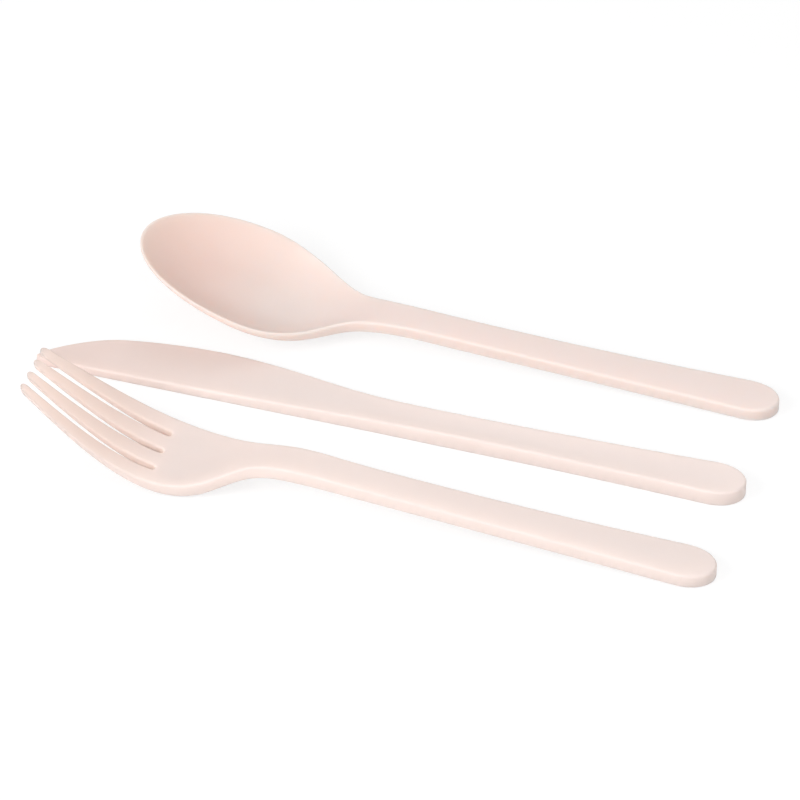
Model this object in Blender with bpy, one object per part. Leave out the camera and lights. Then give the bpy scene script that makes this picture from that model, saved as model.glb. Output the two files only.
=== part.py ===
"""A set of moulded plastic cutlery: a spoon, a knife and a fork lying side by side on a table.

Metres, +Z up, the table at z = 0 and the middle of the set over the origin. Each piece is one
moulded plate. Its shape is drawn over a plan: s runs from the outer end of the handle to the tip,
and l is the distance from the centre line, positive on the far side. The piece's object has its
origin at that outer end, with s along -X and l along +Y. The three handles point the same way.
"""

import bmesh
import bpy
import numpy as np
from mathutils.geometry import delaunay_2d_cdt

# Lengths. The runs below say how each length is shared out between a piece's sections.
SPOON_LENGTH = 0.1905
KNIFE_LENGTH = 0.2088
FORK_LENGTH = 0.1977

# Handle, the same outline on all three pieces. A run is the way on from the section before it.
HANDLE_END_WIDTH = 0.0138
HANDLE_GRIP_WIDTH = 0.0122
HANDLE_MID_WIDTH = 0.0105
HANDLE_WAIST_WIDTH = 0.0100
HANDLE_GRIP_RUN = 0.023
HANDLE_MID_RUN = 0.035
HANDLE_WAIST_RUN = 0.031
HANDLE_END_ROUND = 0.0101
HANDLE_THICKNESS = 0.00435
HANDLE_CROWN = 0.00025
EDGE_RADIUS = 0.0009

# Spoon: widths, and heights of the upper side above the table.
SPOON_NECK_RUN = 0.0250
SPOON_ROOT_RUN = 0.0048
SPOON_SHOULDER_RUN = 0.0115
SPOON_BELLY_RUN = 0.0187
SPOON_TIP_RUN = 0.0321
SPOON_NECK_WIDTH = 0.0117
SPOON_ROOT_WIDTH = 0.0136
SPOON_SHOULDER_WIDTH = 0.0293
SPOON_BOWL_WIDTH = 0.0430
SPOON_MID_HEIGHT = 0.0065
SPOON_WAIST_HEIGHT = 0.0081
SPOON_NECK_HEIGHT = 0.0085
SPOON_ROOT_HEIGHT = 0.0081
SPOON_SHOULDER_HEIGHT = 0.0077
SPOON_BELLY_HEIGHT = 0.0125
SPOON_TIP_HEIGHT = 0.0214
SPOON_NECK_THICKNESS = 0.0038
SPOON_RIM_THICKNESS = 0.0017
SPOON_TIP_THICKNESS = 0.0009
SPOON_FLOOR_THICKNESS = 0.0019
SPOON_LIP_WIDTH = 0.0008
SPOON_LIP_SOFTNESS = 0.03
SPOON_BOWL_FULLNESS = 2.5
SPOON_ROOT_DEPTH = 0.0008
SPOON_SHOULDER_DEPTH = 0.0040
SPOON_BOWL_DEPTH = 0.0094

# Fork: as the spoon, then the four tines and the three slots between them.
FORK_RISE_RUN = 0.018
FORK_NECK_RUN = 0.015
FORK_ROOT_RUN = 0.011
FORK_SHOULDER_RUN = 0.012
FORK_PALM_RUN = 0.018
FORK_BEND_RUN = 0.017
FORK_TIP_RUN = 0.0177
FORK_RISE_WIDTH = 0.0102
FORK_NECK_WIDTH = 0.0105
FORK_ROOT_WIDTH = 0.0116
FORK_SHOULDER_WIDTH = 0.0213
FORK_PALM_WIDTH = 0.0274
FORK_BEND_WIDTH = 0.0250
FORK_TIP_WIDTH = 0.0189
FORK_MID_HEIGHT = 0.0076
FORK_WAIST_HEIGHT = 0.0098
FORK_RISE_HEIGHT = 0.0112
FORK_NECK_HEIGHT = 0.0120
FORK_ROOT_HEIGHT = 0.0102
FORK_SHOULDER_HEIGHT = 0.0056
FORK_PALM_HEIGHT = 0.0062
FORK_BEND_HEIGHT = 0.0144
FORK_TIP_HEIGHT = 0.0266
FORK_TIP_THICKNESS = 0.0010
FORK_THINNING_POWER = 1.4
FORK_DISH_DEPTH = 0.0003
TINE_COUNT = 4
SLOT_LENGTH = 0.0383
SLOT_ROOT_WIDTH = 0.0019
SLOT_TIP_WIDTH = 0.0025
TINE_TIP_ROUND = 0.0016

# Knife: the straight back is on the near side and the curved edge on the far side. The tip is
# nearer to the back than the centre line is.
KNIFE_NECK_RUN = 0.0245
KNIFE_ROOT_RUN = 0.0205
KNIFE_BELLY_RUN = 0.0205
KNIFE_SHOULDER_RUN = 0.0205
KNIFE_POINT_RUN = 0.0175
KNIFE_TIP_RUN = 0.0176
KNIFE_BACK = 0.0048
KNIFE_NECK_EDGE = 0.0069
KNIFE_ROOT_EDGE = 0.0109
KNIFE_BELLY_EDGE = 0.0137
KNIFE_SHOULDER_EDGE = 0.0131
KNIFE_POINT_EDGE = 0.0102
KNIFE_TIP_EDGE = 0.0048
KNIFE_EDGE_ROUND = 0.0218
KNIFE_BACK_ROUND = 0.0036
KNIFE_TIP_OFFSET = 0.0029
KNIFE_HANDLE_THICKNESS = 0.0051
KNIFE_NECK_THICKNESS = 0.0045
KNIFE_ROOT_THICKNESS = 0.0040
KNIFE_BLADE_THICKNESS = 0.0035
KNIFE_TIP_THICKNESS = 0.0031
KNIFE_DISH_DEPTH = 0.0004
KNIFE_DISH_RIM = 0.0008
KNIFE_EDGE_THINNING = 0.0012

# Set: the places of the handles' ends, from the knife's, and how far the fork is turned.
SPOON_TO_KNIFE = 0.0371
KNIFE_TO_FORK = 0.0343
SPOON_AHEAD = 0.0008
FORK_TURN = 0.0021

# Mesh
OUTLINE_STEP = 0.0042
GRID_STEP = 0.0036
ROUND_STEPS = 7
TIP_STEPS = 4
FILLET_STEPS = 2
MOST_FILLET_SHARE = 0.3
UNITS_PER_METRE = 1000.0
SAME_POINT = 1e-6

PALE_PINK = (0.80, 0.63, 0.61, 1.0)
PLASTIC_ROUGHNESS = 0.38


def places(length, *runs):
    """The place of each section along a piece, from the shares of its length between them."""
    return np.cumsum((0.0,) + runs) * length / sum(runs)


def curve(at, values, end_slope=None):
    """A smooth curve through the values, straight at its start, and at its end unless a slope is given."""
    gap = np.diff(at)
    rise = np.diff(values) / gap
    count = len(at)
    matrix = np.zeros((count, count))
    known = np.zeros(count)
    matrix[0, 0] = matrix[-1, -1] = 1.0
    for i in range(1, count - 1):
        matrix[i, i - 1 : i + 2] = gap[i - 1], 2 * (gap[i - 1] + gap[i]), gap[i]
        known[i] = 6 * (rise[i] - rise[i - 1])
    if end_slope is not None:
        matrix[-1, -2:] = gap[-1], 2 * gap[-1]
        known[-1] = 6 * (end_slope - rise[-1])
    bend = np.linalg.solve(matrix, known)

    def value(s):
        i = np.clip(np.searchsorted(at, s) - 1, 0, count - 2)
        before, after = at[i + 1] - s, s - at[i]
        cubic = bend[i] * before**3 + bend[i + 1] * after**3
        start = values[i] / gap[i] - bend[i] * gap[i] / 6
        end = values[i + 1] / gap[i] - bend[i + 1] * gap[i] / 6
        return cubic / (6 * gap[i]) + start * before + end * after

    at, values = np.asarray(at), np.asarray(values)
    return value


def rounded(distance, length):
    """From 0 at a round end to 1 a length away from it, as an ellipse."""
    return np.sqrt(1 - np.clip(1 - distance / length, 0, 1) ** 2)


def eased(share):
    """From 0 to 1 with a level start and end."""
    share = np.clip(share, 0, 1)
    return share * share * (3 - 2 * share)


def run_of_places(start, end, first_round, last_round, first_steps, last_steps):
    """Places along an edge, closer together on the rounds at its two ends."""
    turn = np.linspace(0, np.pi / 2, first_steps + 1)
    opening = start + first_round * (1 - np.cos(turn))
    turn = np.linspace(np.pi / 2, 0, last_steps + 1)
    closing = end - last_round * (1 - np.cos(turn))
    steps = max(1, round((closing[0] - opening[-1]) / OUTLINE_STEP))
    middle = np.linspace(opening[-1], closing[0], steps + 1)
    return np.concatenate([opening, middle[1:-1], closing])


def outward(outline):
    """Unit normals of a closed outline, away from the plastic."""
    along = np.roll(outline, -1, axis=0) - np.roll(outline, 1, axis=0)
    normals = np.column_stack([-along[:, 1], along[:, 0]])
    return normals / np.linalg.norm(normals, axis=1)[:, None]


def inside(points, loop):
    """Which points a closed loop holds."""
    held = np.zeros(len(points), bool)
    for (s0, l0), (s1, l1) in zip(loop, np.roll(loop, -1, axis=0)):
        spans = (points[:, 1] < l0) != (points[:, 1] < l1)
        rise = l1 - l0 if l1 != l0 else 1.0
        held ^= spans & (points[:, 0] < s0 + (points[:, 1] - l0) * (s1 - s0) / rise)
    return held


def grid_within(loop, step):
    """Points of a square grid that lie inside the loop and clear of it."""
    low, high = loop.min(axis=0), loop.max(axis=0)
    counts = np.ceil((high - low) / step).astype(int) + 1
    middle = (low + high) / 2
    s, l = np.meshgrid(*[(np.arange(n) - (n - 1) / 2) * step for n in counts])
    points = np.column_stack([s.ravel(), l.ravel()]) + middle
    points = points[inside(points, loop)]
    nearest = np.linalg.norm(points[:, None] - loop[None], axis=2).min(axis=1)
    return points[nearest > step / 2]


def triangles_within(loop, points):
    """Triangles that fill the loop and use the points, as indices into the loop and then the points."""
    count = len(loop)
    corners = [tuple(corner) for corner in np.vstack([loop, points]) * UNITS_PER_METRE]
    ring = [(i, (i + 1) % count) for i in range(count)]
    _, _, faces, sources, _, _ = delaunay_2d_cdt(corners, ring, [], 1, SAME_POINT)
    return [[sources[corner][0] for corner in face] for face in faces]


def plate(name, outline, top, bottom):
    """The moulded plate between two surfaces over an outline, with its edges rounded."""
    normals = outward(outline)
    s, l = outline.T
    radius = np.minimum(EDGE_RADIUS, MOST_FILLET_SHARE * (top(s, l) - bottom(s, l)))[:, None]
    rings = []
    for turn in np.linspace(np.pi / 2, 0, FILLET_STEPS + 1):
        ring = outline - normals * radius * (1 - np.cos(turn))
        height = bottom(*ring.T) + radius[:, 0] * (1 - np.sin(turn))
        rings.append(np.column_stack([ring, height]))
    for turn in np.linspace(0, np.pi / 2, FILLET_STEPS + 1):
        ring = outline - normals * radius * (1 - np.cos(turn))
        height = top(*ring.T) - radius[:, 0] * (1 - np.sin(turn))
        rings.append(np.column_stack([ring, height]))
    inner = rings[0][:, :2]
    grid = grid_within(inner, GRID_STEP)
    under = np.column_stack([grid, bottom(*grid.T)])
    over = np.column_stack([grid, top(*grid.T)])

    work = bmesh.new()
    loops = [[work.verts.new((-s, l, z)) for s, l, z in ring] for ring in rings]
    for lower, upper in zip(loops, loops[1:]):
        for i in range(len(outline)):
            work.faces.new((lower[i - 1], lower[i], upper[i], upper[i - 1]))
    fill = triangles_within(inner, grid)
    for edge_loop, spread in ((loops[0], under), (loops[-1], over)):
        corners = edge_loop + [work.verts.new((-s, l, z)) for s, l, z in spread]
        for face in fill:
            work.faces.new([corners[i] for i in face])
    bmesh.ops.recalc_face_normals(work, faces=work.faces)
    return finished(name, work)


def finished(name, work):
    """The object made from a mesh, lowered or raised until it lies on the table."""
    lowest = min(vert.co.z for vert in work.verts)
    bmesh.ops.translate(work, verts=work.verts, vec=(0, 0, -lowest))
    mesh = bpy.data.meshes.new(name)
    work.to_mesh(mesh)
    work.free()
    mesh.materials.append(plastic(name))
    mesh.shade_smooth()
    piece = bpy.data.objects.new(name, mesh)
    bpy.context.scene.collection.objects.link(piece)
    return piece


def plastic(name):
    """Satin pale pink plastic."""
    material = bpy.data.materials.new(name + "_plastic")
    material.use_nodes = True
    shader = material.node_tree.nodes["Principled BSDF"]
    shader.inputs["Base Color"].default_value = PALE_PINK
    shader.inputs["Roughness"].default_value = PLASTIC_ROUGHNESS
    shader.inputs["Metallic"].default_value = 0.0
    return material


def handle_runs():
    return HANDLE_GRIP_RUN, HANDLE_MID_RUN, HANDLE_WAIST_RUN


def handle_halves():
    widths = HANDLE_END_WIDTH, HANDLE_GRIP_WIDTH, HANDLE_MID_WIDTH, HANDLE_WAIST_WIDTH
    return [width / 2 for width in widths]


def crown(s, l, half, until):
    """How far the upper side of a handle falls away towards its edges, up to a place along it."""
    across = np.clip(l / np.maximum(half(s), SAME_POINT), -1, 1) ** 2
    return HANDLE_CROWN * across * eased(s / HANDLE_END_ROUND) * eased((until - s) / HANDLE_MID_RUN)


def two_sided(far, near, length, tip_round):
    """The outline of a piece with one far and one near edge, out along the far one and back."""
    s = run_of_places(0, length, HANDLE_END_ROUND, tip_round, ROUND_STEPS, ROUND_STEPS)
    out = np.column_stack([s, far(s)])
    back = np.column_stack([s, -near(s)])[-2:0:-1]
    return np.vstack([out, back])


def spoon():
    at = places(
        SPOON_LENGTH,
        *handle_runs(),
        SPOON_NECK_RUN,
        SPOON_ROOT_RUN,
        SPOON_SHOULDER_RUN,
        SPOON_BELLY_RUN,
        SPOON_TIP_RUN,
    )
    neck, root, shoulder, belly, length = at[4:]
    tip_run = length - belly
    widths = SPOON_NECK_WIDTH, SPOON_ROOT_WIDTH, SPOON_SHOULDER_WIDTH, SPOON_BOWL_WIDTH
    side = curve(at[:-1], handle_halves() + [width / 2 for width in widths], end_slope=0.0)
    rim = curve(
        [0.0, at[2], at[3], neck, root, shoulder, belly, length],
        [
            HANDLE_THICKNESS,
            SPOON_MID_HEIGHT,
            SPOON_WAIST_HEIGHT,
            SPOON_NECK_HEIGHT,
            SPOON_ROOT_HEIGHT,
            SPOON_SHOULDER_HEIGHT,
            SPOON_BELLY_HEIGHT,
            SPOON_TIP_HEIGHT,
        ],
    )
    sunk = curve(
        [neck, root, shoulder, belly],
        [0.0, SPOON_ROOT_DEPTH, SPOON_SHOULDER_DEPTH, SPOON_BOWL_DEPTH],
        end_slope=0.0,
    )

    def thickness(s):
        to_neck = eased((s - at[3]) / (neck - at[3]))
        to_belly = eased((s - neck) / (belly - neck))
        to_tip = np.clip((s - belly) / tip_run, 0, 1)
        return (
            HANDLE_THICKNESS
            + (SPOON_NECK_THICKNESS - HANDLE_THICKNESS) * to_neck
            + (SPOON_RIM_THICKNESS - SPOON_NECK_THICKNESS) * to_belly
            + (SPOON_TIP_THICKNESS - SPOON_RIM_THICKNESS) * to_tip
        )

    def half(s):
        return side(np.minimum(s, belly)) * rounded(length - s, tip_run) * rounded(s, HANDLE_END_ROUND)

    def reach(s, l, inset):
        """1 on the centre line, 0 on the rim or on the edge of the lip, and below 0 outside it."""
        across = (l / np.maximum(side(np.minimum(s, belly)) - inset, SAME_POINT)) ** 2
        along = np.clip((s - belly) / (tip_run - inset), 0, None) ** 2
        return 1 - (across + along) ** (SPOON_BOWL_FULLNESS / 2)

    def depth(s):
        return np.where(s > neck, sunk(np.clip(s, neck, belly)), 0)

    def top(s, l):
        """The rim's height less the bowl's depth, with the edge between the lip and bowl softened."""
        level = reach(s, l, SPOON_LIP_WIDTH)
        hollow = (level + np.sqrt(level**2 + SPOON_LIP_SOFTNESS**2)) / 2
        return rim(s) - depth(s) * hollow - crown(s, l, half, neck)

    def bottom(s, l):
        edge = thickness(s)
        share = depth(s) / SPOON_BOWL_DEPTH
        under = depth(s) + (SPOON_FLOOR_THICKNESS - edge) * share
        return rim(s) - edge - under * np.clip(reach(s, l, 0.0), 0, 1)

    outline = two_sided(half, half, length, tip_run)
    return plate("spoon", outline, top, bottom)


def knife():
    at = places(
        KNIFE_LENGTH,
        *handle_runs(),
        KNIFE_NECK_RUN,
        KNIFE_ROOT_RUN,
        KNIFE_BELLY_RUN,
        KNIFE_SHOULDER_RUN,
        KNIFE_POINT_RUN,
        KNIFE_TIP_RUN,
    )
    length = at[-1]
    edges = (
        KNIFE_NECK_EDGE,
        KNIFE_ROOT_EDGE,
        KNIFE_BELLY_EDGE,
        KNIFE_SHOULDER_EDGE,
        KNIFE_POINT_EDGE,
        KNIFE_TIP_EDGE,
    )
    edge = curve(at, handle_halves() + list(edges))
    back = curve(at[:6], handle_halves() + [KNIFE_BACK, KNIFE_BACK], end_slope=0.0)
    thickness = curve(
        [0.0, at[2], at[3], at[4], at[5], at[6], length],
        [
            KNIFE_HANDLE_THICKNESS,
            KNIFE_HANDLE_THICKNESS,
            KNIFE_HANDLE_THICKNESS,
            KNIFE_NECK_THICKNESS,
            KNIFE_ROOT_THICKNESS,
            KNIFE_BLADE_THICKNESS,
            KNIFE_TIP_THICKNESS,
        ],
    )

    def far(s):
        handle_side = edge(s) * rounded(s, HANDLE_END_ROUND)
        tip = rounded(length - s, KNIFE_EDGE_ROUND)
        return (handle_side + KNIFE_TIP_OFFSET) * tip - KNIFE_TIP_OFFSET

    def near(s):
        handle_side = back(np.minimum(s, at[5])) * rounded(s, HANDLE_END_ROUND)
        tip = rounded(length - s, KNIFE_BACK_ROUND)
        return (handle_side - KNIFE_TIP_OFFSET) * tip + KNIFE_TIP_OFFSET

    def dish(s, l):
        """The shallow hollow on the upper side of the handle, inside a rim."""
        middle, breadth = (far(s) - near(s)) / 2, (far(s) + near(s)) / 2 - KNIFE_DISH_RIM
        across = np.clip(1 - ((l - middle) / np.maximum(breadth, SAME_POINT)) ** 2, 0, 1)
        along = eased((s - KNIFE_DISH_RIM) / HANDLE_END_ROUND) * eased((at[5] - s) / (at[5] - at[3]))
        return KNIFE_DISH_DEPTH * along * across

    def thinning(s, l):
        """How much thinner the blade is than at its back, more and more towards its edge."""
        across = np.clip((l + near(s)) / np.maximum(far(s) + near(s), SAME_POINT), 0, 1)
        return KNIFE_EDGE_THINNING * across * eased((s - at[3]) / (at[6] - at[3]))

    def top(s, l):
        return thickness(s) - dish(s, l) - thinning(s, l)

    def bottom(s, l):
        return np.zeros_like(s)

    outline = two_sided(far, near, length, KNIFE_BACK_ROUND)
    return plate("knife", outline, top, bottom)


def fork():
    at = places(
        FORK_LENGTH,
        *handle_runs(),
        FORK_RISE_RUN,
        FORK_NECK_RUN,
        FORK_ROOT_RUN,
        FORK_SHOULDER_RUN,
        FORK_PALM_RUN,
        FORK_BEND_RUN,
        FORK_TIP_RUN,
    )
    rise, neck, root, shoulder, palm, bend, length = at[4:]
    widths = (
        FORK_RISE_WIDTH,
        FORK_NECK_WIDTH,
        FORK_ROOT_WIDTH,
        FORK_SHOULDER_WIDTH,
        FORK_PALM_WIDTH,
        FORK_BEND_WIDTH,
        FORK_TIP_WIDTH,
    )
    side = curve(at, handle_halves() + [width / 2 for width in widths])
    crest = curve(
        [0.0, at[2], at[3], rise, neck, root, shoulder, palm, bend, length],
        [
            HANDLE_THICKNESS,
            FORK_MID_HEIGHT,
            FORK_WAIST_HEIGHT,
            FORK_RISE_HEIGHT,
            FORK_NECK_HEIGHT,
            FORK_ROOT_HEIGHT,
            FORK_SHOULDER_HEIGHT,
            FORK_PALM_HEIGHT,
            FORK_BEND_HEIGHT,
            FORK_TIP_HEIGHT,
        ],
    )
    slot_end = length - SLOT_LENGTH

    def half(s):
        return side(s) * rounded(s, HANDLE_END_ROUND)

    last_tine = TINE_COUNT - 1

    def slot_edge(s, slot, sign):
        """An edge of a slot between tines of one width. The slots are numbered from 0 on the far side."""
        width = SLOT_ROOT_WIDTH + (SLOT_TIP_WIDTH - SLOT_ROOT_WIDTH) * (s - slot_end) / SLOT_LENGTH
        pitch = (2 * half(s) + width) / TINE_COUNT
        middle = ((last_tine - 1) / 2 - slot) * pitch
        return middle + sign * width / 2 * rounded(s - slot_end, SLOT_ROOT_WIDTH / 2)

    def tine_edges(tine):
        """The far and the near edge of a tine, whose number runs from 0 on the far side."""

        def far_side(s):
            return half(s) if tine == 0 else slot_edge(s, tine - 1, -1)

        def near_side(s):
            return -half(s) if tine == last_tine else slot_edge(s, tine, 1)

        def edge(s, sign):
            middle = (far_side(s) + near_side(s)) / 2
            breadth = (far_side(s) - near_side(s)) / 2
            return middle + sign * breadth * rounded(length - s, TINE_TIP_ROUND)

        return edge

    whole = run_of_places(0, length, HANDLE_END_ROUND, TINE_TIP_ROUND, ROUND_STEPS, TIP_STEPS)
    tine = run_of_places(
        slot_end, length, SLOT_ROOT_WIDTH / 2, TINE_TIP_ROUND, TIP_STEPS, TIP_STEPS
    )
    runs = []
    for number in range(TINE_COUNT):
        edge = tine_edges(number)
        out = whole if number == 0 else tine[1:]
        home = whole if number == last_tine else tine
        runs.append(np.column_stack([out, edge(out, 1)]))
        runs.append(np.column_stack([home, edge(home, -1)])[-2::-1])
    outline = np.vstack(runs)[:-1]

    def thickness(s):
        thinned = np.clip((s - shoulder) / (length - shoulder), 0, 1) ** FORK_THINNING_POWER
        return HANDLE_THICKNESS + (FORK_TIP_THICKNESS - HANDLE_THICKNESS) * thinned

    def top(s, l):
        across = np.clip(1 - (l / np.maximum(half(s), SAME_POINT)) ** 2, 0, 1)
        along = eased((s - neck) / (shoulder - neck)) * eased((length - s) / (length - palm))
        return crest(s) - FORK_DISH_DEPTH * across * along - crown(s, l, half, neck)

    def bottom(s, l):
        return top(s, l) - thickness(s)

    return plate("fork", outline, top, bottom)


def clear_scene():
    for existing in list(bpy.data.objects):
        bpy.data.objects.remove(existing, do_unlink=True)


def world_corners(pieces):
    """Every point of the pieces, where they lie in the set."""
    bpy.context.view_layer.update()
    return np.array([piece.matrix_world @ vert.co for piece in pieces for vert in piece.data.vertices])


def lay_out():
    """Makes the three pieces in a row, then brings the middle of the set over the origin."""
    spoon_piece, knife_piece, fork_piece = pieces = spoon(), knife(), fork()
    spoon_piece.location = SPOON_AHEAD, SPOON_TO_KNIFE, 0.0
    fork_piece.location = 0.0, -KNIFE_TO_FORK, 0.0
    fork_piece.rotation_euler.z = -FORK_TURN
    corners = world_corners(pieces)
    middle = (corners.min(axis=0) + corners.max(axis=0)) / 2
    for piece in pieces:
        piece.location.x -= middle[0]
        piece.location.y -= middle[1]


clear_scene()
lay_out()
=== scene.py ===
"""The looks of a set of moulded plastic cutlery: a spoon, a knife and a fork on a white table.

Metres, +Z up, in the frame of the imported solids. Each piece is a fine mesh drawn from the same
curves as its solid, and lies where that solid lies. Its edges are rounded less, and the fork's
tines are thinner and its slots narrower, each by a fraction of a millimetre.

A shape is drawn over a plan: s runs from the outer end of the handle to the tip, and l is the
distance from the centre line, positive on the far side. In the set, s runs along -X and l along +Y.
"""

from collections import namedtuple

import bmesh
import bpy
import numpy as np
from mathutils import Matrix, Vector
from mathutils.geometry import delaunay_2d_cdt


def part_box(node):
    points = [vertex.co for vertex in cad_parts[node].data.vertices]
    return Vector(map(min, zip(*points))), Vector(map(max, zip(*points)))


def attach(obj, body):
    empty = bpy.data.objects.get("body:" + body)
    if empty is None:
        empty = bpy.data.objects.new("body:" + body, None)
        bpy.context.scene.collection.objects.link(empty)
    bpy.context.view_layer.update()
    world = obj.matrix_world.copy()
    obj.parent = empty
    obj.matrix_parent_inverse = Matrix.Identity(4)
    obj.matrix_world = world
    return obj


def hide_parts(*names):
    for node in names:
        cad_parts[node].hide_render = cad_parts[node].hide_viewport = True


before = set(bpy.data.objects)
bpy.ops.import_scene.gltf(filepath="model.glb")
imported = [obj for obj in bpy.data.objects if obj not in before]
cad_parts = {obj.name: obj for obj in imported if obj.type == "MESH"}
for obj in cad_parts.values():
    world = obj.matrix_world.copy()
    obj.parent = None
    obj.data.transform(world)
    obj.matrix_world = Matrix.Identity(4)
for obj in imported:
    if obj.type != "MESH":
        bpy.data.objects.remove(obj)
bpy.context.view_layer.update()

# Lengths. The runs below say how each length is shared out between a piece's sections.
SPOON_LENGTH = 0.1905
KNIFE_LENGTH = 0.2088
FORK_LENGTH = 0.1977

# Handle, the same outline on all three pieces. A run is the way on from the section before it.
HANDLE_END_WIDTH = 0.0138
HANDLE_GRIP_WIDTH = 0.0122
HANDLE_MID_WIDTH = 0.0105
HANDLE_WAIST_WIDTH = 0.0100
HANDLE_GRIP_RUN = 0.023
HANDLE_MID_RUN = 0.035
HANDLE_WAIST_RUN = 0.031
HANDLE_END_ROUND = 0.0101
HANDLE_THICKNESS = 0.00435
HANDLE_CROWN = 0.00025
EDGE_RADIUS = 0.0007

# Spoon: runs, widths, heights of the upper side above the table, thicknesses, and depths of the bowl.
SPOON_NECK_RUN = 0.0250
SPOON_ROOT_RUN = 0.0048
SPOON_SHOULDER_RUN = 0.0115
SPOON_BELLY_RUN = 0.0187
SPOON_TIP_RUN = 0.0321
SPOON_NECK_WIDTH = 0.0117
SPOON_ROOT_WIDTH = 0.0136
SPOON_SHOULDER_WIDTH = 0.0293
SPOON_BOWL_WIDTH = 0.0430
SPOON_MID_HEIGHT = 0.0065
SPOON_WAIST_HEIGHT = 0.0081
SPOON_NECK_HEIGHT = 0.0085
SPOON_ROOT_HEIGHT = 0.0081
SPOON_SHOULDER_HEIGHT = 0.0077
SPOON_BELLY_HEIGHT = 0.0125
SPOON_TIP_HEIGHT = 0.0214
SPOON_NECK_THICKNESS = 0.0038
SPOON_RIM_THICKNESS = 0.0017
SPOON_TIP_THICKNESS = 0.0009
SPOON_FLOOR_THICKNESS = 0.0019
SPOON_LIP_WIDTH = 0.0008
SPOON_ROOT_DEPTH = 0.0008
SPOON_SHOULDER_DEPTH = 0.0040
SPOON_BOWL_DEPTH = 0.0094
# How softly the lip turns down into the bowl, as a share of its depth, and the power that gives the
# bowl its section: 2 is a parabola, and more has a flatter floor and steeper walls.
SPOON_LIP_SOFTNESS = 0.03
SPOON_BOWL_FULLNESS = 2.5

# Fork: as the spoon, then the four tines and the three slots between them.
FORK_RISE_RUN = 0.018
FORK_NECK_RUN = 0.015
FORK_ROOT_RUN = 0.011
FORK_SHOULDER_RUN = 0.012
FORK_PALM_RUN = 0.018
FORK_BEND_RUN = 0.017
FORK_TIP_RUN = 0.0177
FORK_RISE_WIDTH = 0.0102
FORK_NECK_WIDTH = 0.0105
FORK_ROOT_WIDTH = 0.0116
FORK_SHOULDER_WIDTH = 0.0213
FORK_PALM_WIDTH = 0.0274
FORK_BEND_WIDTH = 0.0250
FORK_TIP_WIDTH = 0.0189
FORK_MID_HEIGHT = 0.0076
FORK_WAIST_HEIGHT = 0.0098
FORK_RISE_HEIGHT = 0.0112
FORK_NECK_HEIGHT = 0.0120
FORK_ROOT_HEIGHT = 0.0102
FORK_SHOULDER_HEIGHT = 0.0056
FORK_PALM_HEIGHT = 0.0062
FORK_BEND_HEIGHT = 0.0144
FORK_TIP_HEIGHT = 0.0266
FORK_TIP_THICKNESS = 0.0010
FORK_DISH_DEPTH = 0.0003
TINE_COUNT = 4
TINE_TIP_ROUND = 0.0016
SLOT_LENGTH = 0.0383
SLOT_ROOT_WIDTH = 0.0018
SLOT_TIP_WIDTH = 0.0022
# From the shoulder to the tip the fork thins as this power of the way there: 1 thins evenly.
FORK_THINNING_POWER = 1.0
# The fork lies turned by this angle on the table, in radians.
FORK_TURN = 0.0021

# Knife: the straight back is on the near side and the curved edge on the far side. The tip is
# nearer to the back than the centre line is.
KNIFE_NECK_RUN = 0.0245
KNIFE_ROOT_RUN = 0.0205
KNIFE_BELLY_RUN = 0.0205
KNIFE_SHOULDER_RUN = 0.0205
KNIFE_POINT_RUN = 0.0175
KNIFE_TIP_RUN = 0.0176
KNIFE_BACK = 0.0048
KNIFE_NECK_EDGE = 0.0069
KNIFE_ROOT_EDGE = 0.0109
KNIFE_BELLY_EDGE = 0.0137
KNIFE_SHOULDER_EDGE = 0.0131
KNIFE_POINT_EDGE = 0.0102
KNIFE_TIP_EDGE = 0.0048
KNIFE_EDGE_ROUND = 0.0218
KNIFE_BACK_ROUND = 0.0036
KNIFE_TIP_OFFSET = 0.0029
KNIFE_HANDLE_THICKNESS = 0.0051
KNIFE_NECK_THICKNESS = 0.0045
KNIFE_ROOT_THICKNESS = 0.0040
KNIFE_BLADE_THICKNESS = 0.0035
KNIFE_TIP_THICKNESS = 0.0031
KNIFE_DISH_DEPTH = 0.0004
KNIFE_DISH_RIM = 0.0008
KNIFE_EDGE_THINNING = 0.0012

# Mesh: the lengths of its steps, and the numbers of them across a piece and round its edges.
OUTLINE_STEP = 0.0008
GRID_STEP = 0.0009
COLUMNS = 56
ROUND_STEPS = 28
TINE_ROUND_STEPS = 10
FILLET_STEPS = 7
# The most of the thickness at an edge that each of its two fillets may take.
MOST_FILLET_SHARE = 0.3
# The grid is triangulated in millimetres. Points nearer than the last value are taken as one.
UNITS_PER_METRE = 1000.0
SAME_POINT = 1e-6

# Plastic: two pinks that clouds and streaks mix, the roughness that goes with each, and the grain.
PALE_PINK = (0.852, 0.730, 0.686, 1.0)
DEEPER_PINK = (0.838, 0.708, 0.660, 1.0)
SMOOTHER, ROUGHER = 0.36, 0.44
CLOUDS_PER_METRE = 55.0
CLOUD_DETAIL = 3.0
CLOUD_SHARE = 0.5
STREAKS_PER_METRE = (9.0, 260.0, 260.0)
STREAK_DETAIL = 2.0
GRAIN_PER_METRE = 2600.0
GRAIN_DETAIL = 2.0
GRAIN_DEPTH = 0.00003
GRAIN_STRENGTH = 0.12
SCATTER_SHARE = 1.0
SCATTER_COLOURS = (1.0, 0.85, 0.75)
# Each piece's plastic: how it scatters light and how far, its shade, and the painted shade of its thin
# part, a deeper pink that stands in for shade and for the redder light through thin plastic, with the
# places along the piece where that painted shade begins and is complete.
Plastic = namedtuple("Plastic", "scattering distance shade thin_tint thin_from thin_to")
PLASTICS = {
    "spoon": Plastic("RANDOM_WALK", 0.0028, 1.0, (1.0, 0.90, 0.88, 1.0), 0.135, 0.190),
    "knife": Plastic("BURLEY", 0.0042, 1.0, (1.0, 0.92, 0.89, 1.0), 0.130, 0.240),
    "fork": Plastic("BURLEY", 0.0052, 0.960, (0.86, 0.83, 0.81, 1.0), 0.145, 0.190),
}

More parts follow.
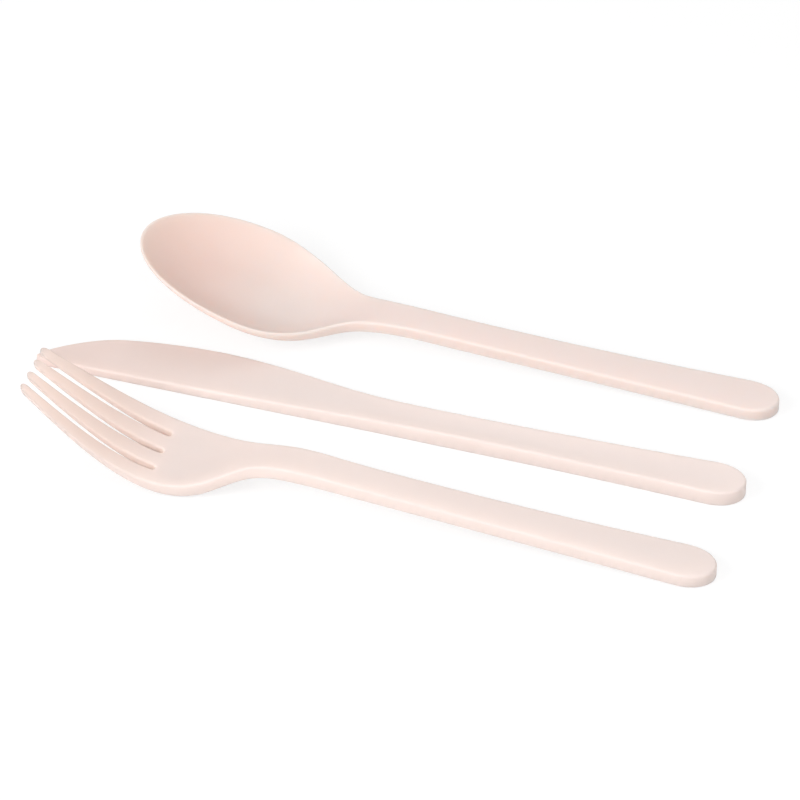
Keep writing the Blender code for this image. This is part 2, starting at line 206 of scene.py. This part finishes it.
# Camera, from the photograph: azimuth 0 looks along +Y.
CAMERA_AZIMUTH = 16.8
CAMERA_ELEVATION = 41.57
CAMERA_DISTANCE = 1.25
CAMERA_TARGET = Vector((0.00028, 0.00551, 0.0))
CAMERA_LENS = 197.1
CAMERA_CLIP_START = 0.1

# Stage: a white floor and soft light, with the main lamp in front and to the left. The floor lights
# the pieces as a plain white one does. What is seen of it is part glow, so that its shadows are pale.
FLOOR_SIZE = 6.0
FLOOR_WHITE = 0.86
FLOOR_SEEN_WHITE = 0.30
FLOOR_GLOW = 0.74
SKY_STRENGTH = 0.39
SEEN_SKY_STRENGTH = 1.0
LAMP_SIZE = 0.55
# Each lamp: its target on the table, its azimuth and elevation, its distance and its power.
LAMPS = {
    "key_lamp": ((0.0, 0.0), -45.0, 35.0, 1.0, 4.6),
    "fill_lamp": ((0.0, 0.0), 20.0, 35.0, 1.0, 1.6),
    "back_lamp": ((0.0, 0.0), 180.0, 45.0, 1.0, 1.5),
    "side_lamp": ((0.25, -0.15), 0.0, 88.0, 0.6, 0.8),
    "front_lamp": ((0.10, 0.0), 0.0, 12.0, 0.8, 0.95),
}


def places(length, *runs):
    """The place of each section along a piece, from the shares of its length between them."""
    return np.cumsum((0.0,) + runs) * length / sum(runs)


def curve(at, values, end_slope=None):
    """A cubic spline through the values, straight at its start, and at its end unless given a slope."""
    at, values = np.asarray(at), np.asarray(values)
    gap = np.diff(at)
    rise = np.diff(values) / gap
    count = len(at)
    # The unknowns of these equations are the second derivatives at the places, here called bend.
    matrix = np.zeros((count, count))
    known = np.zeros(count)
    matrix[0, 0] = matrix[-1, -1] = 1.0
    for i in range(1, count - 1):
        matrix[i, i - 1 : i + 2] = gap[i - 1], 2 * (gap[i - 1] + gap[i]), gap[i]
        known[i] = 6 * (rise[i] - rise[i - 1])
    if end_slope is not None:
        matrix[-1, -2:] = gap[-1], 2 * gap[-1]
        known[-1] = 6 * (end_slope - rise[-1])
    bend = np.linalg.solve(matrix, known)

    def value(s):
        i = np.clip(np.searchsorted(at, s) - 1, 0, count - 2)
        before, after = at[i + 1] - s, s - at[i]
        cubic = bend[i] * before**3 + bend[i + 1] * after**3
        start = values[i] / gap[i] - bend[i] * gap[i] / 6
        end = values[i + 1] / gap[i] - bend[i + 1] * gap[i] / 6
        return cubic / (6 * gap[i]) + start * before + end * after

    return value


def rounded(distance, length):
    """From 0 at a round end to 1 a length away from it, as an ellipse."""
    return np.sqrt(1 - np.clip(1 - distance / length, 0, 1) ** 2)


def eased(share):
    """From 0 to 1 with a level start and end."""
    share = np.clip(share, 0, 1)
    return share * share * (3 - 2 * share)


def run_of_places(start, end, first_round, last_round, first_steps, last_steps):
    """Places along an edge, closer together on the rounds at its two ends."""
    turn = np.linspace(0, np.pi / 2, first_steps + 1)
    opening = start + first_round * (1 - np.cos(turn))
    turn = np.linspace(np.pi / 2, 0, last_steps + 1)
    closing = end - last_round * (1 - np.cos(turn))
    steps = max(1, round((closing[0] - opening[-1]) / OUTLINE_STEP))
    middle = np.linspace(opening[-1], closing[0], steps + 1)
    return np.concatenate([opening, middle[1:-1], closing])


def outward(outline):
    """Unit normals of a closed outline, away from the plastic."""
    along = np.roll(outline, -1, axis=0) - np.roll(outline, 1, axis=0)
    normals = np.column_stack([-along[:, 1], along[:, 0]])
    return normals / np.linalg.norm(normals, axis=1)[:, None]


def filled_by_rows(loop):
    """Points in rows across a two-sided loop, and the faces that fill it with them."""
    count = len(loop)
    rows = count // 2 - 1
    far, near = loop[1 : rows + 1], loop[: -rows - 1 : -1]
    shares = (1 - np.cos(np.linspace(0, np.pi, COLUMNS + 1)[1:-1])) / 2
    points = far[:, None] + (near - far)[:, None] * shares[None, :, None]
    inner = count + np.arange(rows * (COLUMNS - 1)).reshape(rows, COLUMNS - 1)
    lines = [[i + 1, *inner[i], count - 1 - i] for i in range(rows)]
    faces = []
    for line, onward in zip(lines, lines[1:]):
        for k in range(COLUMNS):
            faces.append((line[k], line[k + 1], onward[k + 1], onward[k]))
    for k in range(COLUMNS):
        faces.append((0, lines[0][k + 1], lines[0][k]))
        faces.append((rows + 1, lines[-1][k], lines[-1][k + 1]))
    return points.reshape(-1, 2), faces


def inside(points, loop):
    """Which points a closed loop holds: those with an odd number of its edges on one side."""
    held = np.zeros(len(points), bool)
    for (s0, l0), (s1, l1) in zip(loop, np.roll(loop, -1, axis=0)):
        spans = (points[:, 1] < l0) != (points[:, 1] < l1)
        # An edge along s spans no point, so its rise is only kept from being 0.
        rise = l1 - l0 if l1 != l0 else 1.0
        held ^= spans & (points[:, 0] < s0 + (points[:, 1] - l0) * (s1 - s0) / rise)
    return held


def filled_by_grid(loop):
    """Points of a square grid that lie inside a loop, and the triangles that fill it with them."""
    low, high = loop.min(axis=0), loop.max(axis=0)
    counts = np.ceil((high - low) / GRID_STEP).astype(int) + 1
    s, l = np.meshgrid(*[(np.arange(n) - (n - 1) / 2) * GRID_STEP for n in counts])
    points = np.column_stack([s.ravel(), l.ravel()]) + (low + high) / 2
    points = points[inside(points, loop)]
    nearest = np.linalg.norm(points[:, None] - loop[None], axis=2).min(axis=1)
    points = points[nearest > GRID_STEP / 2]
    count = len(loop)
    corners = [tuple(corner) for corner in np.vstack([loop, points]) * UNITS_PER_METRE]
    ring = [(i, (i + 1) % count) for i in range(count)]
    _, _, faces, sources, _, _ = delaunay_2d_cdt(corners, ring, [], 1, SAME_POINT)
    return points, [[sources[corner][0] for corner in face] for face in faces]


def plate(name, outline, top, bottom, filled):
    """The moulded plate between two surfaces over an outline, with its edges rounded."""
    normals = outward(outline)
    s, l = outline.T
    radius = np.minimum(EDGE_RADIUS, MOST_FILLET_SHARE * (top(s, l) - bottom(s, l)))[:, None]
    rings = []
    for turn in np.linspace(np.pi / 2, 0, FILLET_STEPS + 1):
        ring = outline - normals * radius * (1 - np.cos(turn))
        height = bottom(*ring.T) + radius[:, 0] * (1 - np.sin(turn))
        rings.append(np.column_stack([ring, height]))
    for turn in np.linspace(0, np.pi / 2, FILLET_STEPS + 1):
        ring = outline - normals * radius * (1 - np.cos(turn))
        height = top(*ring.T) - radius[:, 0] * (1 - np.sin(turn))
        rings.append(np.column_stack([ring, height]))
    spread, fill = filled(rings[0][:, :2])
    under = np.column_stack([spread, bottom(*spread.T)])
    over = np.column_stack([spread, top(*spread.T)])

    work = bmesh.new()
    loops = [[work.verts.new((-s, l, z)) for s, l, z in ring] for ring in rings]
    for lower, upper in zip(loops, loops[1:]):
        for i in range(len(outline)):
            work.faces.new((lower[i - 1], lower[i], upper[i], upper[i - 1]))
    for edge_loop, surface in ((loops[0], under), (loops[-1], over)):
        corners = edge_loop + [work.verts.new((-s, l, z)) for s, l, z in surface]
        for face in fill:
            work.faces.new([corners[i] for i in face])
    bmesh.ops.recalc_face_normals(work, faces=work.faces)
    mesh = bpy.data.meshes.new(name)
    work.to_mesh(mesh)
    work.free()
    mesh.shade_smooth()
    piece = bpy.data.objects.new(name, mesh)
    bpy.context.scene.collection.objects.link(piece)
    return piece


def handle_runs():
    """The runs that every piece begins with, up to the waist of its handle."""
    return HANDLE_GRIP_RUN, HANDLE_MID_RUN, HANDLE_WAIST_RUN


def handle_halves():
    """Half the handle's width at its end, its grip, its middle and its waist."""
    widths = HANDLE_END_WIDTH, HANDLE_GRIP_WIDTH, HANDLE_MID_WIDTH, HANDLE_WAIST_WIDTH
    return [width / 2 for width in widths]


def crown(s, l, half, until):
    """How far the upper side of a handle falls away towards its edges, up to a place along it."""
    across = np.clip(l / np.maximum(half(s), SAME_POINT), -1, 1) ** 2
    return HANDLE_CROWN * across * eased(s / HANDLE_END_ROUND) * eased((until - s) / HANDLE_MID_RUN)


def two_sided(far, near, length, tip_round):
    """The outline of a piece with one far and one near edge, out along the far one and back."""
    s = run_of_places(0, length, HANDLE_END_ROUND, tip_round, ROUND_STEPS, ROUND_STEPS)
    out = np.column_stack([s, far(s)])
    back = np.column_stack([s, -near(s)])[-2:0:-1]
    return np.vstack([out, back])


def spoon():
    """The spoon: its handle rises to the neck, and its bowl rises again to the tip."""
    at = places(
        SPOON_LENGTH,
        *handle_runs(),
        SPOON_NECK_RUN,
        SPOON_ROOT_RUN,
        SPOON_SHOULDER_RUN,
        SPOON_BELLY_RUN,
        SPOON_TIP_RUN,
    )
    mid, waist, neck, root, shoulder, belly, length = at[2:]
    tip_run = length - belly
    widths = SPOON_NECK_WIDTH, SPOON_ROOT_WIDTH, SPOON_SHOULDER_WIDTH, SPOON_BOWL_WIDTH
    side = curve(at[:-1], handle_halves() + [width / 2 for width in widths], end_slope=0.0)
    rim = curve(
        [0.0, mid, waist, neck, root, shoulder, belly, length],
        [
            HANDLE_THICKNESS,
            SPOON_MID_HEIGHT,
            SPOON_WAIST_HEIGHT,
            SPOON_NECK_HEIGHT,
            SPOON_ROOT_HEIGHT,
            SPOON_SHOULDER_HEIGHT,
            SPOON_BELLY_HEIGHT,
            SPOON_TIP_HEIGHT,
        ],
    )
    sunk = curve(
        [neck, root, shoulder, belly],
        [0.0, SPOON_ROOT_DEPTH, SPOON_SHOULDER_DEPTH, SPOON_BOWL_DEPTH],
        end_slope=0.0,
    )

    def thickness(s):
        to_neck = eased((s - waist) / (neck - waist))
        to_belly = eased((s - neck) / (belly - neck))
        to_tip = np.clip((s - belly) / tip_run, 0, 1)
        return (
            HANDLE_THICKNESS
            + (SPOON_NECK_THICKNESS - HANDLE_THICKNESS) * to_neck
            + (SPOON_RIM_THICKNESS - SPOON_NECK_THICKNESS) * to_belly
            + (SPOON_TIP_THICKNESS - SPOON_RIM_THICKNESS) * to_tip
        )

    def half(s):
        return side(np.minimum(s, belly)) * rounded(length - s, tip_run) * rounded(s, HANDLE_END_ROUND)

    def reach(s, l, inset):
        """1 on the centre line, 0 on the rim or on the edge of the lip, and below 0 outside it."""
        across = (l / np.maximum(side(np.minimum(s, belly)) - inset, SAME_POINT)) ** 2
        along = np.clip((s - belly) / (tip_run - inset), 0, None) ** 2
        return 1 - (across + along) ** (SPOON_BOWL_FULLNESS / 2)

    def depth(s):
        return np.where(s > neck, sunk(np.clip(s, neck, belly)), 0)

    def top(s, l):
        """The rim's height less the bowl's depth, with the edge between the lip and bowl softened."""
        level = reach(s, l, SPOON_LIP_WIDTH)
        hollow = (level + np.sqrt(level**2 + SPOON_LIP_SOFTNESS**2)) / 2
        return rim(s) - depth(s) * hollow - crown(s, l, half, neck)

    def bottom(s, l):
        edge = thickness(s)
        share = depth(s) / SPOON_BOWL_DEPTH
        under = depth(s) + (SPOON_FLOOR_THICKNESS - edge) * share
        return rim(s) - edge - under * np.clip(reach(s, l, 0.0), 0, 1)

    outline = two_sided(half, half, length, tip_run)
    return plate("spoon_moulding", outline, top, bottom, filled_by_rows)


def knife():
    """The knife: it lies flat, with a dished handle and a blade that thins towards its edge."""
    at = places(
        KNIFE_LENGTH,
        *handle_runs(),
        KNIFE_NECK_RUN,
        KNIFE_ROOT_RUN,
        KNIFE_BELLY_RUN,
        KNIFE_SHOULDER_RUN,
        KNIFE_POINT_RUN,
        KNIFE_TIP_RUN,
    )
    mid, waist, neck, root, belly, *_, length = at[2:]
    edges = (
        KNIFE_NECK_EDGE,
        KNIFE_ROOT_EDGE,
        KNIFE_BELLY_EDGE,
        KNIFE_SHOULDER_EDGE,
        KNIFE_POINT_EDGE,
        KNIFE_TIP_EDGE,
    )
    edge = curve(at, handle_halves() + list(edges))
    to_root = at[at <= root]
    back = curve(to_root, handle_halves() + [KNIFE_BACK, KNIFE_BACK], end_slope=0.0)
    thickness = curve(
        [0.0, mid, waist, neck, root, belly, length],
        [
            KNIFE_HANDLE_THICKNESS,
            KNIFE_HANDLE_THICKNESS,
            KNIFE_HANDLE_THICKNESS,
            KNIFE_NECK_THICKNESS,
            KNIFE_ROOT_THICKNESS,
            KNIFE_BLADE_THICKNESS,
            KNIFE_TIP_THICKNESS,
        ],
    )

    def far(s):
        handle_side = edge(s) * rounded(s, HANDLE_END_ROUND)
        tip = rounded(length - s, KNIFE_EDGE_ROUND)
        return (handle_side + KNIFE_TIP_OFFSET) * tip - KNIFE_TIP_OFFSET

    def near(s):
        handle_side = back(np.minimum(s, root)) * rounded(s, HANDLE_END_ROUND)
        tip = rounded(length - s, KNIFE_BACK_ROUND)
        return (handle_side - KNIFE_TIP_OFFSET) * tip + KNIFE_TIP_OFFSET

    def dish(s, l):
        """The shallow hollow on the upper side of the handle, inside a rim."""
        middle, breadth = (far(s) - near(s)) / 2, (far(s) + near(s)) / 2 - KNIFE_DISH_RIM
        across = np.clip(1 - ((l - middle) / np.maximum(breadth, SAME_POINT)) ** 2, 0, 1)
        along = eased((s - KNIFE_DISH_RIM) / HANDLE_END_ROUND) * eased((root - s) / (root - waist))
        return KNIFE_DISH_DEPTH * along * across

    def thinning(s, l):
        """How much thinner the blade is than at its back, more and more towards its edge."""
        across = np.clip((l + near(s)) / np.maximum(far(s) + near(s), SAME_POINT), 0, 1)
        return KNIFE_EDGE_THINNING * across * eased((s - waist) / (belly - waist))

    def top(s, l):
        return thickness(s) - dish(s, l) - thinning(s, l)

    def bottom(s, l):
        return np.zeros_like(s)

    outline = two_sided(far, near, length, KNIFE_BACK_ROUND)
    return plate("knife_moulding", outline, top, bottom, filled_by_rows)


def fork():
    """The fork: its handle rises to the neck, dips to the palm, and its tines rise to their tips."""
    at = places(
        FORK_LENGTH,
        *handle_runs(),
        FORK_RISE_RUN,
        FORK_NECK_RUN,
        FORK_ROOT_RUN,
        FORK_SHOULDER_RUN,
        FORK_PALM_RUN,
        FORK_BEND_RUN,
        FORK_TIP_RUN,
    )
    mid, waist, rise, neck, root, shoulder, palm, bend, length = at[2:]
    widths = (
        FORK_RISE_WIDTH,
        FORK_NECK_WIDTH,
        FORK_ROOT_WIDTH,
        FORK_SHOULDER_WIDTH,
        FORK_PALM_WIDTH,
        FORK_BEND_WIDTH,
        FORK_TIP_WIDTH,
    )
    side = curve(at, handle_halves() + [width / 2 for width in widths])
    crest = curve(
        [0.0, mid, waist, rise, neck, root, shoulder, palm, bend, length],
        [
            HANDLE_THICKNESS,
            FORK_MID_HEIGHT,
            FORK_WAIST_HEIGHT,
            FORK_RISE_HEIGHT,
            FORK_NECK_HEIGHT,
            FORK_ROOT_HEIGHT,
            FORK_SHOULDER_HEIGHT,
            FORK_PALM_HEIGHT,
            FORK_BEND_HEIGHT,
            FORK_TIP_HEIGHT,
        ],
    )
    slot_end = length - SLOT_LENGTH
    last_tine = TINE_COUNT - 1

    def half(s):
        return side(s) * rounded(s, HANDLE_END_ROUND)

    def slot_edge(s, slot, sign):
        """An edge of a slot between two tines. The slots are numbered from 0 on the far side."""
        width = SLOT_ROOT_WIDTH + (SLOT_TIP_WIDTH - SLOT_ROOT_WIDTH) * (s - slot_end) / SLOT_LENGTH
        pitch = (2 * half(s) + width) / TINE_COUNT
        middle = ((last_tine - 1) / 2 - slot) * pitch
        return middle + sign * width / 2 * rounded(s - slot_end, SLOT_ROOT_WIDTH / 2)

    def tine_edges(tine):
        """The far and the near edge of a tine, whose number runs from 0 on the far side."""

        def far_side(s):
            return half(s) if tine == 0 else slot_edge(s, tine - 1, -1)

        def near_side(s):
            return -half(s) if tine == last_tine else slot_edge(s, tine, 1)

        def edge(s, sign):
            middle = (far_side(s) + near_side(s)) / 2
            breadth = (far_side(s) - near_side(s)) / 2
            return middle + sign * breadth * rounded(length - s, TINE_TIP_ROUND)

        return edge

    tip_steps = TINE_ROUND_STEPS
    whole = run_of_places(0, length, HANDLE_END_ROUND, TINE_TIP_ROUND, ROUND_STEPS, tip_steps)
    tine = run_of_places(
        slot_end, length, SLOT_ROOT_WIDTH / 2, TINE_TIP_ROUND, tip_steps, tip_steps
    )
    runs = []
    for number in range(TINE_COUNT):
        edge = tine_edges(number)
        out = whole if number == 0 else tine[1:]
        home = whole if number == last_tine else tine
        runs.append(np.column_stack([out, edge(out, 1)]))
        runs.append(np.column_stack([home, edge(home, -1)])[-2::-1])
    outline = np.vstack(runs)[:-1]

    def thickness(s):
        thinned = np.clip((s - shoulder) / (length - shoulder), 0, 1) ** FORK_THINNING_POWER
        return HANDLE_THICKNESS + (FORK_TIP_THICKNESS - HANDLE_THICKNESS) * thinned

    def top(s, l):
        across = np.clip(1 - (l / np.maximum(half(s), SAME_POINT)) ** 2, 0, 1)
        along = eased((s - neck) / (shoulder - neck)) * eased((length - s) / (length - palm))
        return crest(s) - FORK_DISH_DEPTH * across * along - crown(s, l, half, neck)

    def bottom(s, l):
        return top(s, l) - thickness(s)

    piece = plate("fork_moulding", outline, top, bottom, filled_by_grid)
    piece.data.transform(Matrix.Rotation(-FORK_TURN, 4, "Z"))
    return piece


def lies_where(piece, node):
    """Moves a piece until the middle of its box is over the middle of the node's, and as low."""
    low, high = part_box(node)
    bpy.context.view_layer.update()
    corners = np.array([piece.matrix_world @ vert.co for vert in piece.data.vertices])
    middle = (corners.min(axis=0) + corners.max(axis=0)) / 2
    piece.location.x = (low.x + high.x) / 2 - middle[0]
    piece.location.y = (low.y + high.y) / 2 - middle[1]
    piece.location.z = low.z - corners[:, 2].min()


def shaded(colour, shade):
    """A colour made darker or lighter, and still opaque."""
    return [channel * shade for channel in colour[:3]] + [1.0]


def plastic(node, place):
    """Satin pale pink plastic: faint clouds and flow streaks in the colour, painted shade on the thin
    part, and a fine mould grain.

    The noise is read from another place for each piece, so that no two have the same marks.
    """
    material = bpy.data.materials.new(node + "_plastic")
    material.use_nodes = True
    nodes, links = material.node_tree.nodes, material.node_tree.links
    shader = nodes["Principled BSDF"]
    look = PLASTICS[node]
    shader.subsurface_method = look.scattering
    shader.inputs["Subsurface Weight"].default_value = SCATTER_SHARE
    shader.inputs["Subsurface Radius"].default_value = SCATTER_COLOURS
    shader.inputs["Subsurface Scale"].default_value = look.distance
    spot = nodes.new("ShaderNodeTexCoord")
    shifted = nodes.new("ShaderNodeMapping")
    shifted.inputs["Location"].default_value = place
    links.new(spot.outputs["Object"], shifted.inputs["Vector"])
    drawn_out = nodes.new("ShaderNodeMapping")
    drawn_out.inputs["Scale"].default_value = STREAKS_PER_METRE
    links.new(shifted.outputs["Vector"], drawn_out.inputs["Vector"])

    def noise(vector, scale, detail):
        texture = nodes.new("ShaderNodeTexNoise")
        texture.inputs["Scale"].default_value = scale
        texture.inputs["Detail"].default_value = detail
        links.new(vector.outputs["Vector"], texture.inputs["Vector"])
        return texture

    clouds = noise(shifted, CLOUDS_PER_METRE, CLOUD_DETAIL)
    streaks = noise(drawn_out, 1.0, STREAK_DETAIL)
    grain = noise(shifted, GRAIN_PER_METRE, GRAIN_DETAIL)
    both = nodes.new("ShaderNodeMath")
    both.operation = "MULTIPLY_ADD"
    both.inputs[1].default_value = CLOUD_SHARE
    links.new(clouds.outputs["Fac"], both.inputs[0])
    streak_part = nodes.new("ShaderNodeMath")
    streak_part.operation = "MULTIPLY"
    streak_part.inputs[1].default_value = 1.0 - CLOUD_SHARE
    links.new(streaks.outputs["Fac"], streak_part.inputs[0])
    links.new(streak_part.outputs["Value"], both.inputs[2])

    tint = nodes.new("ShaderNodeMix")
    tint.data_type = "RGBA"
    tint.inputs["A"].default_value = shaded(PALE_PINK, look.shade)
    tint.inputs["B"].default_value = shaded(DEEPER_PINK, look.shade)
    links.new(both.outputs["Value"], tint.inputs["Factor"])
    # Painted shade: towards its thin part each piece's pink is multiplied by a deeper tint, redder on
    # the spoon and knife, that stands in for shade and for light passing through thin plastic.
    place_along = nodes.new("ShaderNodeSeparateXYZ")
    links.new(spot.outputs["Object"], place_along.inputs["Vector"])
    thinner = nodes.new("ShaderNodeMapRange")
    thinner.interpolation_type = "SMOOTHSTEP"
    thinner.inputs["From Min"].default_value = -look.thin_from
    thinner.inputs["From Max"].default_value = -look.thin_to
    links.new(place_along.outputs["X"], thinner.inputs["Value"])
    painted_shade_mix = nodes.new("ShaderNodeMix")
    painted_shade_mix.data_type = "RGBA"
    painted_shade_mix.blend_type = "MULTIPLY"
    painted_shade_mix.inputs["B"].default_value = look.thin_tint
    links.new(thinner.outputs["Result"], painted_shade_mix.inputs["Factor"])
    links.new(tint.outputs["Result"], painted_shade_mix.inputs["A"])
    links.new(painted_shade_mix.outputs["Result"], shader.inputs["Base Color"])
    gloss = nodes.new("ShaderNodeMapRange")
    gloss.inputs["To Min"].default_value = SMOOTHER
    gloss.inputs["To Max"].default_value = ROUGHER
    links.new(both.outputs["Value"], gloss.inputs["Value"])
    links.new(gloss.outputs["Result"], shader.inputs["Roughness"])
    relief = nodes.new("ShaderNodeBump")
    relief.inputs["Strength"].default_value = GRAIN_STRENGTH
    relief.inputs["Distance"].default_value = GRAIN_DEPTH
    links.new(grain.outputs["Fac"], relief.inputs["Height"])
    links.new(relief.outputs["Normal"], shader.inputs["Normal"])
    return material


def direction(azimuth, elevation):
    """The unit vector from the table towards a place seen at that azimuth and elevation."""
    turn, tilt = np.radians(azimuth), np.radians(elevation)
    across = np.cos(tilt)
    return Vector((np.sin(turn) * across, -np.cos(turn) * across, np.sin(tilt)))


def aimed(thing, target, towards, distance):
    """Puts a lamp or a camera at a distance from the target, facing it."""
    thing.location = target + towards * distance
    thing.rotation_euler = (-towards).to_track_quat("-Z", "Y").to_euler()
    bpy.context.scene.collection.objects.link(thing)


def grey(level):
    return level, level, level, 1.0


def white_floor():
    """The table: a plain white plane that keeps the shadows of the pieces."""
    work = bmesh.new()
    bmesh.ops.create_grid(work, x_segments=1, y_segments=1, size=FLOOR_SIZE / 2)
    mesh = bpy.data.meshes.new("floor")
    work.to_mesh(mesh)
    work.free()
    floor = bpy.data.objects.new("floor", mesh)
    bpy.context.scene.collection.objects.link(floor)

    material = bpy.data.materials.new("white_floor")
    material.use_nodes = True
    nodes, links = material.node_tree.nodes, material.node_tree.links
    nodes.clear()
    white = nodes.new("ShaderNodeBsdfDiffuse")
    white.inputs["Color"].default_value = grey(FLOOR_WHITE)
    seen_white = nodes.new("ShaderNodeBsdfDiffuse")
    seen_white.inputs["Color"].default_value = grey(FLOOR_SEEN_WHITE)
    glow = nodes.new("ShaderNodeEmission")
    glow.inputs["Strength"].default_value = FLOOR_GLOW
    seen = nodes.new("ShaderNodeAddShader")
    links.new(seen_white.outputs["BSDF"], seen.inputs[0])
    links.new(glow.outputs["Emission"], seen.inputs[1])
    choice = nodes.new("ShaderNodeMixShader")
    links.new(seen_by_eye(nodes, links), choice.inputs["Fac"])
    links.new(white.outputs["BSDF"], choice.inputs[1])
    links.new(seen.outputs["Shader"], choice.inputs[2])
    output = nodes.new("ShaderNodeOutputMaterial")
    links.new(choice.outputs["Shader"], output.inputs["Surface"])
    mesh.materials.append(material)


def seen_by_eye(nodes, links):
    """1 for a ray from the camera, or one that a glossy or clear surface passes on."""
    path = nodes.new("ShaderNodeLightPath")
    total = path.outputs["Is Camera Ray"]
    for kind in ("Is Glossy Ray", "Is Transmission Ray"):
        more = nodes.new("ShaderNodeMath")
        more.operation = "MAXIMUM"
        links.new(total, more.inputs[0])
        links.new(path.outputs[kind], more.inputs[1])
        total = more.outputs["Value"]
    return total


def white_sky():
    """Soft white light from all round, seen as plain white."""
    world = bpy.data.worlds.new("white_sky")
    bpy.context.scene.world = world
    world.use_nodes = True
    nodes, links = world.node_tree.nodes, world.node_tree.links
    light = nodes["Background"]
    light.inputs["Color"].default_value = grey(1.0)
    light.inputs["Strength"].default_value = SKY_STRENGTH
    seen = nodes.new("ShaderNodeBackground")
    seen.inputs["Color"].default_value = grey(1.0)
    seen.inputs["Strength"].default_value = SEEN_SKY_STRENGTH
    choice = nodes.new("ShaderNodeMixShader")
    links.new(seen_by_eye(nodes, links), choice.inputs["Fac"])
    links.new(light.outputs["Background"], choice.inputs[1])
    links.new(seen.outputs["Background"], choice.inputs[2])
    links.new(choice.outputs["Shader"], nodes["World Output"].inputs["Surface"])


def soft_lamps():
    """Round lamps of one size, each facing its place on the table."""
    for name, (target, azimuth, elevation, distance, power) in LAMPS.items():
        lamp = bpy.data.lights.new(name, "AREA")
        lamp.shape = "DISK"
        lamp.size = LAMP_SIZE
        lamp.energy = power
        towards = direction(azimuth, elevation)
        aimed(bpy.data.objects.new(name, lamp), Vector((*target, 0.0)), towards, distance)


def camera():
    """The camera, where the photograph was taken from."""
    view = bpy.data.cameras.new("camera")
    view.lens = CAMERA_LENS
    view.clip_start = CAMERA_CLIP_START
    eye = bpy.data.objects.new("camera", view)
    towards = direction(CAMERA_AZIMUTH, CAMERA_ELEVATION)
    aimed(eye, CAMERA_TARGET, towards, CAMERA_DISTANCE)
    bpy.context.scene.camera = eye


def cutlery():
    """The three pieces, each in the place of its solid and made of its own plastic."""
    makers = {"spoon": spoon, "knife": knife, "fork": fork}
    for number, (node, make) in enumerate(makers.items()):
        piece = make()
        lies_where(piece, node)
        piece.data.materials.append(plastic(node, (number, 0.0, 0.0)))
        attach(piece, "root")
        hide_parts(node)


bpy.context.scene.view_settings.view_transform = "Standard"
cutlery()
white_floor()
white_sky()
soft_lamps()
camera()
